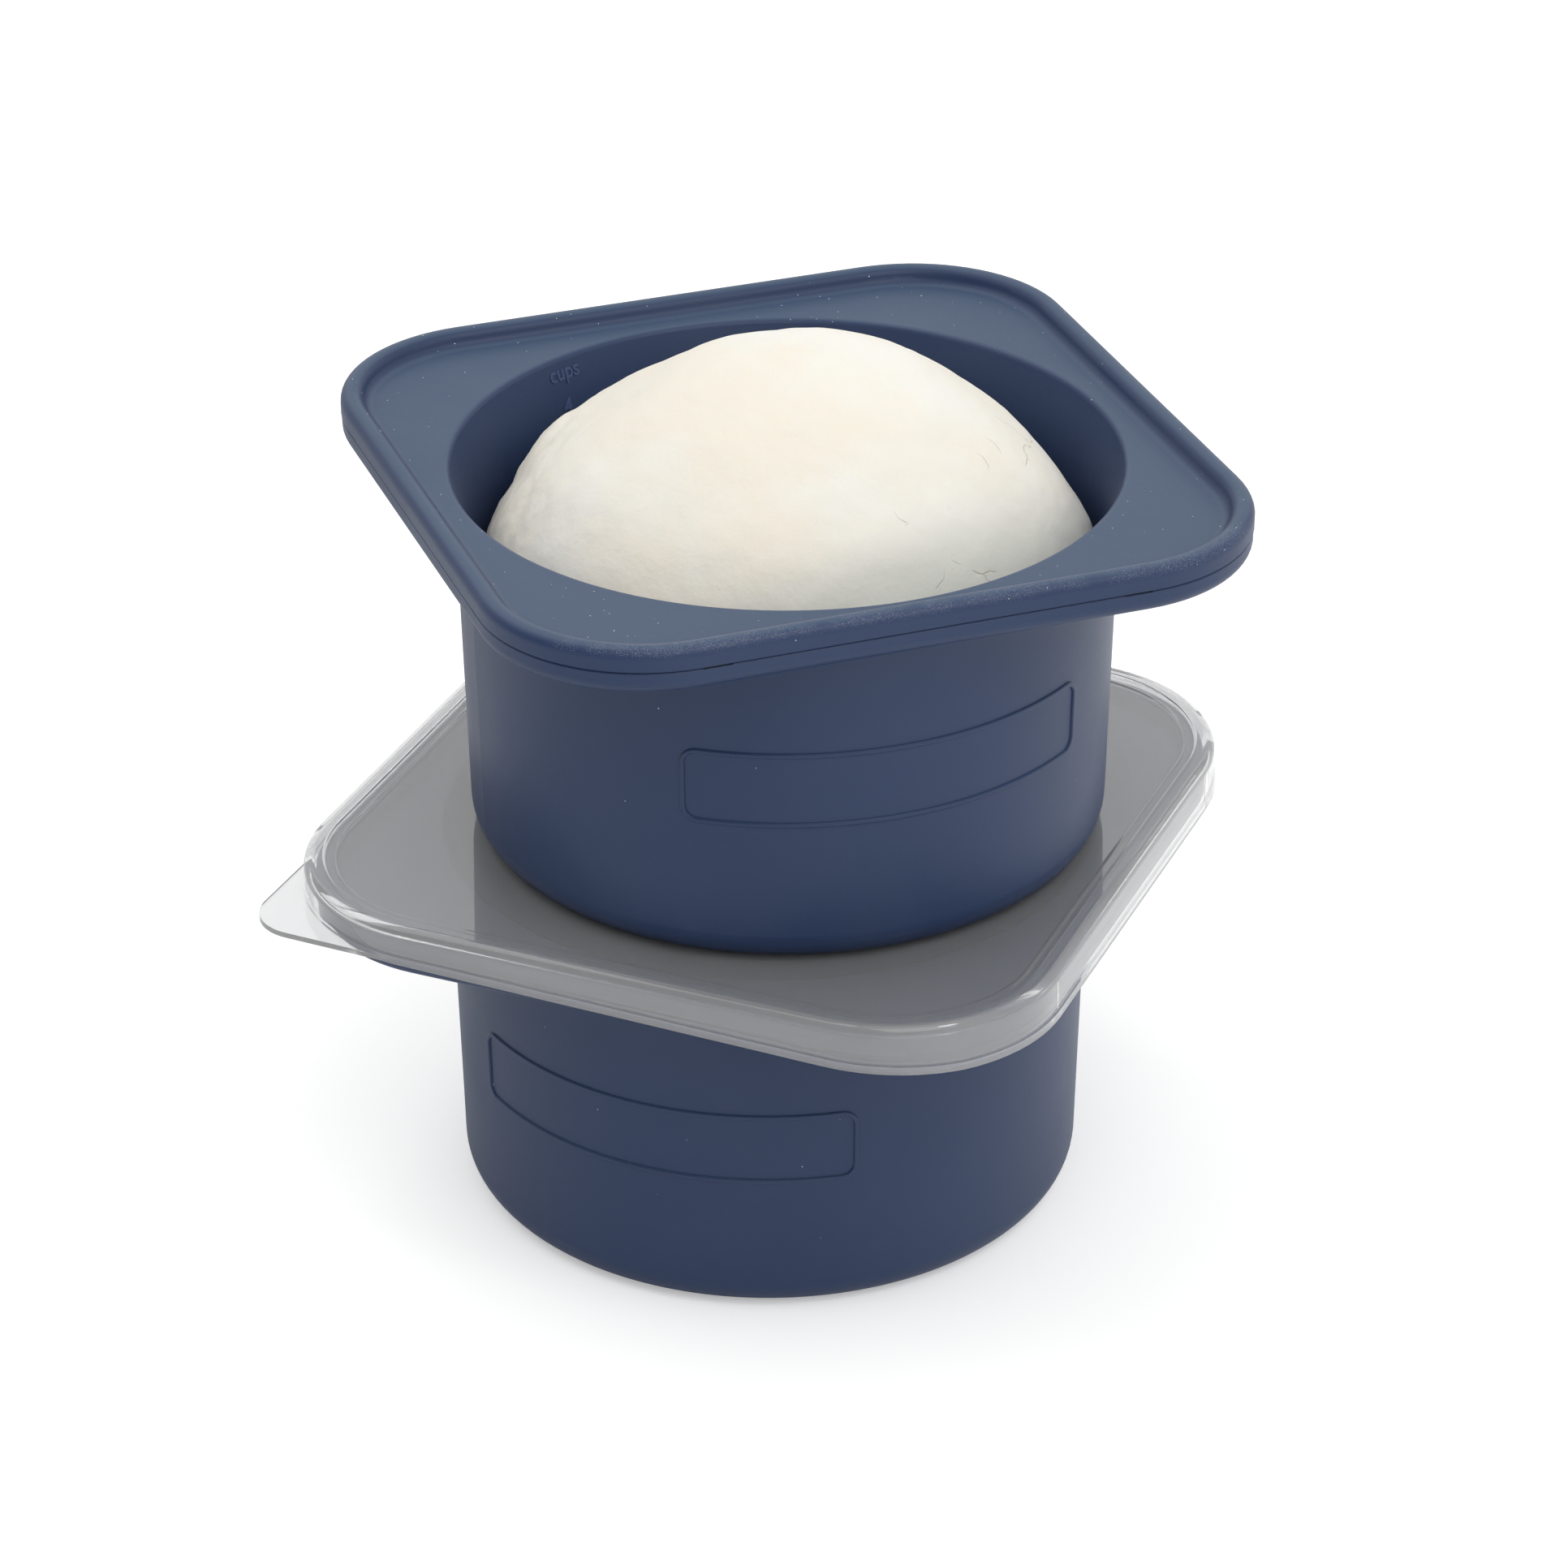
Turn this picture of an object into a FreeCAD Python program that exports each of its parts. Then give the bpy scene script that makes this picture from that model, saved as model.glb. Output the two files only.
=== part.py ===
import FreeCAD, Part
import math
import os
import Sketcher

# Two silicone proofing containers and a lid, stacked: the closed lower container carries the lid, and the
# open upper container stands on the lid with a ball of dough in it. Sizes are in millimetres and degrees.
# The origin is the centre of the lower container's base, +Z is up, and the sides of the lower rim lie along
# X and Y.

# Driving sizes
DIMENSIONS = [
    # container: a round tapered bowl under a rounded-square flange with a raised rim
    ("container_height", 86.0),
    ("ledge_width", 9.2),
    ("rim_corner_radius", 34.2),
    ("rim_edge_height", 9.9),
    ("rim_crest_width", 4.8),
    ("rim_crest_radius", 2.3),
    ("rim_foot_width", 6.0),
    ("rim_inner_run", 4.6),
    ("rim_under_radius", 1.0),
    ("rim_foot_radius", 1.2),
    ("rim_bottom_radius", 2.8),
    ("parting_step", 0.15),
    ("parting_groove_depth", 0.3),
    ("parting_groove_width", 0.6),
    ("deck_drop", 3.5),
    ("deck_thickness", 3.0),
    ("mouth_diameter", 134.0),
    ("mouth_edge_radius", 1.3),
    ("mouth_flare", 2.9),
    ("mouth_flare_depth", 20.0),
    ("wall_taper", 1.7),
    ("floor_corner_radius", 5.0),
    ("floor_thickness", 3.0),
    ("wall_thickness", 2.2),
    ("wall_root_radius", 2.0),
    ("base_edge_radius", 7.0),
    # plain raised border on the wall
    ("border_angle", 77.2),
    ("border_centre_height", 41.1),
    ("border_height", 17.0),
    ("border_width", 1.1),
    ("border_proud", 0.45),
    ("border_edge_radius", 0.4),
    ("border_root", 1.0),
    ("border_corner_radius", 3.7),
    # steel wire moulded into the rim, and the slits left by the pins that held it
    ("wire_diameter", 4.0),
    ("wire_drop", 5.0),
    ("wire_clearance", 0.05),
    ("pin_slit_length", 6.0),
    ("pin_slit_height", 0.5),
    # lid: a flat panel, a step up to a flat band, a rounded crown, and a skirt round the rim
    ("lid_seat_clearance", 0.4),
    ("lid_skirt_clearance", 1.1),
    ("lid_thickness", 1.4),
    ("lid_skirt_depth", 8.1),
    ("lid_inner_radius", 0.6),
    ("lid_lip_height", 1.8),
    ("lid_lip_proud", 0.5),
    ("lid_crown_height", 1.0),
    ("lid_crown_width", 4.3),
    ("lid_crown_radius", 2.2),
    ("lid_band_width", 2.4),
    ("lid_band_height", 0.35),
    ("lid_step_run", 0.9),
    ("lid_peel_angle", 1.68),
    ("tab_corner_radius", 10.0),
    ("tab_inset", 0.3),
    ("tab_thickness", 1.2),
    # how the upper container stands on the lid
    ("upper_shift_x", 5.6),
    ("upper_shift_y", -2.5),
    ("upper_turn", 42.8),
    # dough, risen to a dome above the rim
    ("dough_wall_gap", 0.8),
    ("dough_floor_gap", 0.3),
    ("dough_bottom_radius", 14.0),
    ("dough_shoulder_height", 50.2),
    ("dough_shoulder_radius", 37.6),
    ("dough_dome_height", 54.8),
]

doc = FreeCAD.newDocument("dough_proofing_container")
sizes = doc.addObject("Spreadsheet::Sheet", "sizes")
for row, (alias, number) in enumerate(DIMENSIONS, start=1):
    sizes.set(f"A{row}", alias)
    sizes.set(f"B{row}", str(number))
    sizes.setAlias(f"B{row}", alias)
doc.recompute()

# A round is limited to a share of what it sits on: the crest's width and rise, the height of the rim or of
# what hangs below the deck, the border's width and rise, and the lid's crown
CREST_WIDTH_SHARE = 0.48
CREST_RISE_SHARE = 0.7
RIM_SHARE = 0.4
BORDER_SHARE = 0.4
PROUD_SHARE = 0.9
CROWN_SHARE = 0.85

# Sizes that follow from the driving ones, as expressions on the sheet
MOUTH = "(sizes.mouth_diameter / 2)"
FLOOR = f"({MOUTH} - sizes.wall_taper)"
RIM_HALF = f"({MOUTH} + sizes.ledge_width + sizes.rim_crest_width)"
RIM_TOP = "sizes.container_height"
RIM_BOTTOM = "(sizes.container_height - sizes.rim_edge_height)"
DECK_TOP = "(sizes.container_height - sizes.deck_drop)"
DECK_BOTTOM = f"({DECK_TOP} - sizes.deck_thickness)"
CREST_RADIUS = (f"min(sizes.rim_crest_radius; {CREST_WIDTH_SHARE} * sizes.rim_crest_width; "
                f"{CREST_RISE_SHARE} * sizes.deck_drop)")
BASE = f"({FLOOR} + sizes.wall_thickness)"
WALL_TOP = f"({MOUTH} + sizes.wall_thickness)"
MOUTH_EDGE = f"({MOUTH} + sizes.mouth_flare)"
FLARE_LEVEL = f"({DECK_TOP} - sizes.mouth_flare_depth)"
WIRE_INSET = "(sizes.rim_foot_width / 2)"
WIRE_LEVEL = f"({RIM_TOP} - sizes.wire_drop)"
CORNER_CENTRE = f"({RIM_HALF} - sizes.rim_corner_radius)"

LID_UNDERSIDE = f"({RIM_TOP} + sizes.lid_seat_clearance)"
PANEL_TOP = f"({LID_UNDERSIDE} + sizes.lid_thickness)"
BAND_TOP = f"({PANEL_TOP} + sizes.lid_band_height)"
CROWN_TOP = f"({PANEL_TOP} + sizes.lid_crown_height)"
SKIRT_BOTTOM = f"({RIM_TOP} - sizes.lid_skirt_depth)"
SKIRT_INSIDE = f"({RIM_HALF} + sizes.lid_skirt_clearance)"
SKIRT_OUTSIDE = f"({SKIRT_INSIDE} + sizes.lid_thickness)"
SKIRT_MIDDLE = f"({SKIRT_INSIDE} + sizes.lid_thickness / 2)"
LIP_OUTSIDE = f"({SKIRT_OUTSIDE} + sizes.lid_lip_proud)"
CROWN_EDGE = f"({SKIRT_OUTSIDE} - sizes.lid_crown_width)"
PANEL_EDGE = f"({CROWN_EDGE} - sizes.lid_band_width)"

# A probe for finding an edge: how near it must lie, and where round a ring it is looked for
PROBE_TOLERANCE = 1e-4
PROBE_RING_ANGLE = math.radians(30)

SIDES = 4


def value(expression):
    return float(sizes.evalExpression(expression))


def wall_outside(level):
    return f"({BASE} + ({WALL_TOP} - {BASE}) * ({level}) / {DECK_TOP})"


def wall_inside(level):
    rise = f"({DECK_TOP} - sizes.floor_thickness)"
    return f"({FLOOR} + ({MOUTH} - {FLOOR}) * (({level}) - sizes.floor_thickness) / {rise})"


def flare_radius(foot, edge):
    """The radius of the wall's flare, which leaves the wall upright at its foot and ends at its edge."""
    run = f"({edge} - {foot})"
    return f"(({run} ^ 2 + sizes.mouth_flare_depth ^ 2) / (2 * {run}))"


# Sketches

def new_body(name):
    return doc.addObject("PartDesign::Body", name)


def origin_feature(body, role):
    return next(feature for feature in body.Origin.OriginFeatures if feature.Role == role)


def new_sketch(body, name, role, offset="0"):
    sketch = body.newObject("Sketcher::SketchObject", name)
    sketch.AttachmentSupport = [(origin_feature(body, role), "")]
    sketch.MapMode = "FlatFace"
    sketch.setExpression("AttachmentOffset.Base.z", offset)
    return sketch


def bind(sketch, constraint, name, expression):
    index = sketch.addConstraint(constraint)
    sketch.renameConstraint(index, name)
    sketch.setExpression(f"Constraints.{name}", expression)


def tie_point(sketch, edge, end, name, x, y):
    """Holds one end of an edge at (x, y) from the sketch's origin, both bound to the sheet."""
    for axis, kind, coordinate in ((-2, "DistanceX", x), (-1, "DistanceY", y)):
        distance = value(coordinate)
        if coordinate == "0":
            sketch.addConstraint(Sketcher.Constraint("PointOnObject", edge, end, axis))
        elif distance > 0:
            rule = Sketcher.Constraint(kind, -1, 1, edge, end, distance)
            bind(sketch, rule, f"{name}_{kind}", coordinate)
        else:
            rule = Sketcher.Constraint(kind, edge, end, -1, 1, -distance)
            bind(sketch, rule, f"{name}_{kind}", f"-({coordinate})")


def arc_between(start, end, radius, turn):
    """The shorter arc of a radius from start to end, turning left or right on the way."""
    chord = end - start
    towards_centre = FreeCAD.Vector(-chord.y, chord.x, 0).normalize()
    if turn == "right":
        towards_centre = towards_centre * -1
    centre_distance = math.sqrt(max(radius ** 2 - (chord.Length / 2) ** 2, 0))
    middle = (start + end) / 2 + towards_centre * (centre_distance - radius)
    return Part.Arc(start, middle, end)


def outline(sketch, corners):
    """Adds a closed outline. A corner is (x, y), or (x, y, radius, turn) where an arc leaves it."""
    first = sketch.GeometryCount
    points = [FreeCAD.Vector(value(corner[0]), value(corner[1]), 0) for corner in corners]
    ends = []
    for index, corner in enumerate(corners):
        start = points[index]
        end = points[(index + 1) % len(points)]
        if len(corner) == 2:
            sketch.addGeometry(Part.LineSegment(start, end))
            ends.append((1, 2))
        else:
            sketch.addGeometry(arc_between(start, end, value(corner[2]), corner[3]))
            ends.append((1, 2) if corner[3] == "left" else (2, 1))
    for index, corner in enumerate(corners):
        edge = first + index
        following = (index + 1) % len(corners)
        sketch.addConstraint(Sketcher.Constraint(
            "Coincident", edge, ends[index][1], first + following, ends[following][0]))
        tie_point(sketch, edge, ends[index][0], f"corner{edge}", corner[0], corner[1])
        if len(corner) == 4:
            bind(sketch, Sketcher.Constraint("Radius", edge, value(corner[2])), f"arc{edge}", corner[2])


def rounded_square(half):
    """The rim's rounded square grown or shrunk to another half width, round the same corner centres."""
    radius = f"({half} - {CORNER_CENTRE})"
    near = CORNER_CENTRE
    return [
        (half, f"-{near}"), (half, near, radius, "left"),
        (near, half), (f"-{near}", half, radius, "left"),
        (f"-{half}", near), (f"-{half}", f"-{near}", radius, "left"),
        (f"-{near}", f"-{half}"), (near, f"-{half}", radius, "left"),
    ]


def rectangle(left, bottom, right, top):
    return [(left, bottom), (right, bottom), (right, top), (left, top)]


def eased_step(edge, low, high, run):
    """A rise from low to high, centred on edge and taken inwards from its top: two arcs that meet in it."""
    rise = f"({high} - {low})"
    radius = f"(({run} ^ 2 + {rise} ^ 2) / (4 * {rise}))"
    return [
        (f"({edge} + {run} / 2)", high, radius, "left"),
        (edge, f"(({low} + {high}) / 2)", radius, "right"),
        (f"({edge} - {run} / 2)", low),
    ]


def wire_circle(body, name, radius):
    """A round section in the rim, where the frame's wire lies."""
    sketch = new_sketch(body, name, "XZ_Plane")
    across = f"({RIM_HALF} - {WIRE_INSET})"
    centre = FreeCAD.Vector(value(across), value(WIRE_LEVEL), 0)
    circle = sketch.addGeometry(Part.Circle(centre, FreeCAD.Vector(0, 0, 1), value(radius)))
    bind(sketch, Sketcher.Constraint("DistanceX", -1, 1, circle, 3, centre.x), "across", across)
    bind(sketch, Sketcher.Constraint("DistanceY", -1, 1, circle, 3, centre.y), "level", WIRE_LEVEL)
    bind(sketch, Sketcher.Constraint("Radius", circle, value(radius)), "radius", radius)
    return sketch


# Features

def removed_something(name, body, volume_before):
    doc.recompute()
    if not body.Shape.Volume < volume_before:
        raise RuntimeError(f"{name} cuts nothing")


def pad(body, name, sketch, length):
    feature = body.newObject("PartDesign::Pad", name)
    feature.Profile = sketch
    feature.setExpression("Length", length)
    doc.recompute()
    return feature


def pocket(body, name, sketch, depth):
    volume = body.Shape.Volume
    feature = body.newObject("PartDesign::Pocket", name)
    feature.Profile = sketch
    feature.setExpression("Length", depth)
    removed_something(name, body, volume)
    return feature


def revolve(body, name, sketch, angle="360"):
    feature = body.newObject("PartDesign::Revolution", name)
    feature.Profile = sketch
    feature.ReferenceAxis = (sketch, ["V_Axis"])
    feature.Midplane = True
    feature.setExpression("Angle", angle)
    doc.recompute()
    return feature


def groove(body, name, sketch, angle="360"):
    volume = body.Shape.Volume
    feature = body.newObject("PartDesign::Groove", name)
    feature.Profile = sketch
    feature.ReferenceAxis = (sketch, ["V_Axis"])
    feature.Midplane = True
    feature.setExpression("Angle", angle)
    removed_something(name, body, volume)
    return feature


def sweep_round_rim(body, name, kind, section):
    """Sweeps a section once round the rim's outline, adding to the body or cutting from it."""
    path = new_sketch(body, f"{name}_path", "XY_Plane", RIM_TOP)
    outline(path, rounded_square(RIM_HALF))
    doc.recompute()
    volume = body.Shape.Volume if body.Tip else 0
    feature = body.newObject(f"PartDesign::{kind}Pipe", name)
    feature.Profile = section
    feature.Spine = (path, [])
    if kind == "Subtractive":
        removed_something(name, body, volume)
    doc.recompute()
    return feature


def edge_through(feature, point):
    probe = Part.Vertex(point)
    for index, edge in enumerate(feature.Shape.Edges, start=1):
        if edge.distToShape(probe)[0] < PROBE_TOLERANCE:
            return f"Edge{index}"
    raise RuntimeError(f"{feature.Name} has no edge at {point}")


def ring(radius, level):
    """A point on a circular edge about the bowl's axis."""
    reach = value(radius)
    turn = PROBE_RING_ANGLE
    return FreeCAD.Vector(reach * math.cos(turn), reach * math.sin(turn), value(level))


def fillet(body, name, base, points, radius):
    feature = body.newObject("PartDesign::Fillet", name)
    feature.Base = (base, [edge_through(base, point) for point in points])
    feature.setExpression("Radius", radius)
    doc.recompute()
    return feature


# Containers

def rim_section(body, name):
    """The rim's section: a thick edge that hangs below the flange and stands above it as a round crest.

    The mould parts at the level of the wire, where a fine groove runs round the edge. The half below it is
    set back a little and well rounded."""
    sketch = new_sketch(body, name, "XZ_Plane")
    crest = f"({RIM_HALF} - sizes.rim_crest_width)"
    foot = f"({RIM_HALF} - sizes.rim_foot_width)"
    lower_edge = f"({RIM_HALF} - sizes.parting_step)"
    crest_run = f"min(sizes.rim_inner_run; 2 * (sizes.rim_crest_width - {CREST_RADIUS}))"
    hang = f"({DECK_BOTTOM} - {RIM_BOTTOM})"
    under_radius = f"min(sizes.rim_under_radius; {RIM_SHARE} * {hang})"
    foot_radius = f"min(sizes.rim_foot_radius; {RIM_SHARE} * {hang})"
    bottom_radius = f"min(sizes.rim_bottom_radius; {RIM_SHARE} * sizes.rim_edge_height)"
    inner_end = f"({foot} - sizes.rim_foot_width)"
    outline(sketch, [
        (f"({foot} + {foot_radius})", RIM_BOTTOM),
        (f"({lower_edge} - {bottom_radius})", RIM_BOTTOM, bottom_radius, "left"),
        (lower_edge, f"({RIM_BOTTOM} + {bottom_radius})"),
        (lower_edge, f"({WIRE_LEVEL} - sizes.parting_groove_width / 2)"),
        (f"({lower_edge} - sizes.parting_groove_depth)", WIRE_LEVEL),
        (RIM_HALF, f"({WIRE_LEVEL} + sizes.parting_groove_width / 2)"),
        (RIM_HALF, f"({RIM_TOP} - {CREST_RADIUS})", CREST_RADIUS, "left"),
        (f"({RIM_HALF} - {CREST_RADIUS})", RIM_TOP),
        *eased_step(crest, DECK_TOP, RIM_TOP, crest_run),
        (inner_end, DECK_TOP),
        (inner_end, DECK_BOTTOM),
        (f"({foot} - {under_radius})", DECK_BOTTOM, under_radius, "right"),
        (foot, f"({DECK_BOTTOM} - {under_radius})"),
        (foot, f"({RIM_BOTTOM} + {foot_radius})", foot_radius, "left"),
    ])
    return sketch


def wall_frame(inset):
    """The low and high level, the angle and the corner radius of the border's outline, within an inset."""
    low = f"(sizes.border_centre_height - sizes.border_height / 2 + {inset})"
    high = f"(sizes.border_centre_height + sizes.border_height / 2 - {inset})"
    middle = wall_outside("sizes.border_centre_height")
    angle = f"(sizes.border_angle - 2 * {inset} / {middle} * 180 / pi)"
    corner = f"max(sizes.border_corner_radius - {inset}; sizes.border_width / 2)"
    return low, high, angle, corner


def wall_plate_section(body, name, low, high, root, proud):
    """The section of a plate that follows the wall's slope, from its root in the wall to its face."""
    section = new_sketch(body, name, "XZ_Plane")
    outline(section, [
        (f"({wall_outside(low)} - {root})", low),
        (f"({wall_outside(low)} + {proud})", low),
        (f"({wall_outside(high)} + {proud})", high),
        (f"({wall_outside(high)} - {root})", high),
    ])
    return section


def plate_corners(low, high, angle):
    """A point on each of the four corner edges of a plate on the wall."""
    turn = math.radians(value(angle) / 2)
    points = []
    for level in (low, high):
        reach = value(wall_outside(level))
        for side in (-1, 1):
            points.append(FreeCAD.Vector(reach * math.cos(turn), side * reach * math.sin(turn), value(level)))
    return points


def wall_border(name):
    """The plain raised border on the container's -Y side: a plate on the wall, cut out within, with its
    edges rounded over."""
    body = new_body(name)
    low, high, angle, corner = wall_frame("0")
    section = wall_plate_section(body, f"{name}_section", low, high, "sizes.border_root",
                                 "sizes.border_proud")
    shape = revolve(body, f"{name}_plate", section, angle)
    shape = fillet(body, f"{name}_corners", shape, plate_corners(low, high, angle), corner)
    outer_edge = FreeCAD.Vector(value(f"{wall_outside(high)} + sizes.border_proud"), 0, value(high))

    low, high, angle, corner = wall_frame("sizes.border_width")
    section = wall_plate_section(body, f"{name}_cut_section", low, high, "(2 * sizes.border_root)",
                                 "(2 * sizes.border_proud)")
    shape = groove(body, f"{name}_cut", section, angle)
    shape = fillet(body, f"{name}_cut_corners", shape, plate_corners(low, high, angle), corner)
    inner_edge = FreeCAD.Vector(value(f"{wall_outside(high)} + sizes.border_proud"), 0, value(high))

    edge_radius = (f"min(sizes.border_edge_radius; {BORDER_SHARE} * sizes.border_width; "
                   f"{PROUD_SHARE} * sizes.border_proud)")
    fillet(body, f"{name}_edges", shape, [outer_edge, inner_edge], edge_radius)
    body.Placement = FreeCAD.Placement(FreeCAD.Vector(), FreeCAD.Rotation(FreeCAD.Vector(0, 0, 1), -90))
    return body


def pin_slits(body, name):
    """Slits in the rim's edge, two to a side where the side meets its corners, down to the wire."""
    sketch = new_sketch(body, f"{name}_outline", "XZ_Plane", RIM_HALF)
    low = f"({WIRE_LEVEL} - sizes.pin_slit_height / 2)"
    high = f"({WIRE_LEVEL} + sizes.pin_slit_height / 2)"
    far = CORNER_CENTRE
    near = f"({CORNER_CENTRE} - sizes.pin_slit_length)"
    outline(sketch, rectangle(near, low, far, high))
    outline(sketch, rectangle(f"-{far}", low, f"-{near}", high))
    slit = pocket(body, name, sketch, WIRE_INSET)
    volume = body.Shape.Volume
    pattern = body.newObject("PartDesign::PolarPattern", f"{name}_round_rim")
    pattern.Originals = [slit]
    pattern.Axis = (origin_feature(body, "Z_Axis"), [""])
    pattern.Angle = 360
    pattern.Occurrences = SIDES
    body.Tip = pattern
    removed_something(pattern.Name, body, volume)


def make_container(name):
    body = new_body(f"{name}_moulding")
    sweep_round_rim(body, f"{name}_rim", "Additive", rim_section(body, f"{name}_rim_section"))

    deck = new_sketch(body, f"{name}_deck_outline", "XY_Plane", DECK_BOTTOM)
    outline(deck, rounded_square(f"({RIM_HALF} - sizes.rim_foot_width - sizes.rim_under_radius)"))
    pad(body, f"{name}_deck", deck, "sizes.deck_thickness")

    bowl = new_sketch(body, f"{name}_bowl_section", "XZ_Plane")
    foot = wall_outside(FLARE_LEVEL)
    edge = f"({MOUTH_EDGE} + sizes.wall_thickness)"
    flare = flare_radius(foot, edge)
    outline(bowl, [("0", "0"), (BASE, "0"), (foot, FLARE_LEVEL, flare, "right"), (edge, DECK_TOP),
                   ("0", DECK_TOP)])
    revolve(body, f"{name}_bowl", bowl)
    under_deck = f"({DECK_BOTTOM} - {FLARE_LEVEL})"
    root = f"({foot} + {flare} - sqrt({flare} ^ 2 - {under_deck} ^ 2))"

    hollow = new_sketch(body, f"{name}_hollow_section", "XZ_Plane")
    foot = wall_inside(FLARE_LEVEL)
    outline(hollow, [("0", "sizes.floor_thickness"), (FLOOR, "sizes.floor_thickness"),
                     (foot, FLARE_LEVEL, flare_radius(foot, MOUTH_EDGE), "right"), (MOUTH_EDGE, DECK_TOP),
                     (MOUTH_EDGE, RIM_TOP), ("0", RIM_TOP)])
    shape = groove(body, f"{name}_hollow", hollow)

    for part, radius, point in (
        ("mouth_edge", "sizes.mouth_edge_radius", ring(MOUTH_EDGE, DECK_TOP)),
        ("floor_corner", "sizes.floor_corner_radius", ring(FLOOR, "sizes.floor_thickness")),
        ("base_edge", "sizes.base_edge_radius", ring(BASE, "0")),
        ("wall_root", "sizes.wall_root_radius", ring(root, DECK_BOTTOM)),
    ):
        shape = fillet(body, f"{name}_{part}", shape, [point], radius)

    channel = wire_circle(body, f"{name}_channel_section", "(sizes.wire_diameter / 2 + sizes.wire_clearance)")
    sweep_round_rim(body, f"{name}_wire_channel", "Subtractive", channel)
    pin_slits(body, f"{name}_pin_slits")

    container = doc.addObject("Part::Fuse", name)
    container.Base = body
    container.Tool = wall_border(f"{name}_border")
    container.Label = name
    return container


def make_rim_frame(name):
    body = new_body(name)
    section = wire_circle(body, f"{name}_section", "(sizes.wire_diameter / 2)")
    sweep_round_rim(body, f"{name}_wire", "Additive", section)
    body.Label = name
    return body


# Lid

def lid_border_section(body, name):
    """The lid's border from the skirt inwards: skirt, rounded crown, flat band and panel."""
    sketch = new_sketch(body, name, "XZ_Plane")
    crown_flat = "(sizes.lid_crown_width - sizes.lid_step_run / 2)"
    crown_radius = f"min(sizes.lid_crown_radius; {CROWN_SHARE} * {crown_flat})"
    inner_end = f"({PANEL_EDGE} - sizes.lid_band_width)"
    outline(sketch, [
        (SKIRT_INSIDE, SKIRT_BOTTOM),
        (SKIRT_OUTSIDE, SKIRT_BOTTOM),
        (SKIRT_OUTSIDE, f"({CROWN_TOP} - {crown_radius})", crown_radius, "left"),
        (f"({SKIRT_OUTSIDE} - {crown_radius})", CROWN_TOP),
        *eased_step(CROWN_EDGE, BAND_TOP, CROWN_TOP, "sizes.lid_step_run"),
        *eased_step(PANEL_EDGE, PANEL_TOP, BAND_TOP, "sizes.lid_step_run"),
        (inner_end, PANEL_TOP),
        (inner_end, LID_UNDERSIDE),
        (f"({SKIRT_INSIDE} - sizes.lid_inner_radius)", LID_UNDERSIDE, "sizes.lid_inner_radius", "right"),
        (SKIRT_INSIDE, f"({LID_UNDERSIDE} - sizes.lid_inner_radius)"),
    ])
    return sketch


def lip_ring(body, name, height):
    """The lip as an upright ring, from the middle of the skirt's wall out to the lip's face."""
    sketch = new_sketch(body, f"{name}_outline", "XY_Plane", SKIRT_BOTTOM)
    outline(sketch, rounded_square(LIP_OUTSIDE))
    outline(sketch, rounded_square(SKIRT_MIDDLE))
    pad(body, name, sketch, height)


def peeled_sketch(body, name):
    """A sketch on the slope that the skirt's lower edge takes up to the tab, from the corners beside it."""
    sketch = new_sketch(body, name, "XY_Plane", SKIRT_BOTTOM)
    slope = FreeCAD.Rotation(FreeCAD.Vector(-1, 1, 0), 1)
    sketch.AttachmentOffset = FreeCAD.Placement(FreeCAD.Vector(0, 0, value(SKIRT_BOTTOM)), slope)
    sketch.setExpression("AttachmentOffset.Rotation.Angle", "sizes.lid_peel_angle")
    return sketch


def tab_outline(body, name):
    """The pull tab fills the skirt's round corner out to a nearly square one."""
    sketch = peeled_sketch(body, name)
    near = CORNER_CENTRE
    edge = f"({LIP_OUTSIDE} - sizes.tab_inset)"
    bend = f"({edge} - sizes.tab_corner_radius)"
    root_radius = f"({SKIRT_MIDDLE} - {near})"
    outline(sketch, [
        (f"-{edge}", f"-{near}"),
        (f"-{edge}", f"-{bend}", "sizes.tab_corner_radius", "left"),
        (f"-{bend}", f"-{edge}"),
        (f"-{near}", f"-{edge}"),
        (f"-{near}", f"-{SKIRT_MIDDLE}", root_radius, "right"),
        (f"-{SKIRT_MIDDLE}", f"-{near}"),
    ])
    return sketch


def raised_lip(name):
    """The lip where it climbs to the tab: the part of a tall ring within the lip's height of the slope."""
    tall = new_body(f"{name}_ring")
    lip_ring(tall, f"{name}_tall_ring", "sizes.lid_skirt_depth")
    slope = new_body(f"{name}_slope")
    sketch = peeled_sketch(slope, f"{name}_slope_outline")
    reach = f"(2 * {LIP_OUTSIDE})"
    outline(sketch, [(f"-{reach}", f"-{reach}"), (reach, f"-{reach}"), (f"-{reach}", reach)])
    pad(slope, f"{name}_slab", sketch, "(2 * sizes.lid_lip_height)").Midplane = True
    lip = doc.addObject("Part::Common", name)
    lip.Base = tall
    lip.Tool = slope
    return lip


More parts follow.
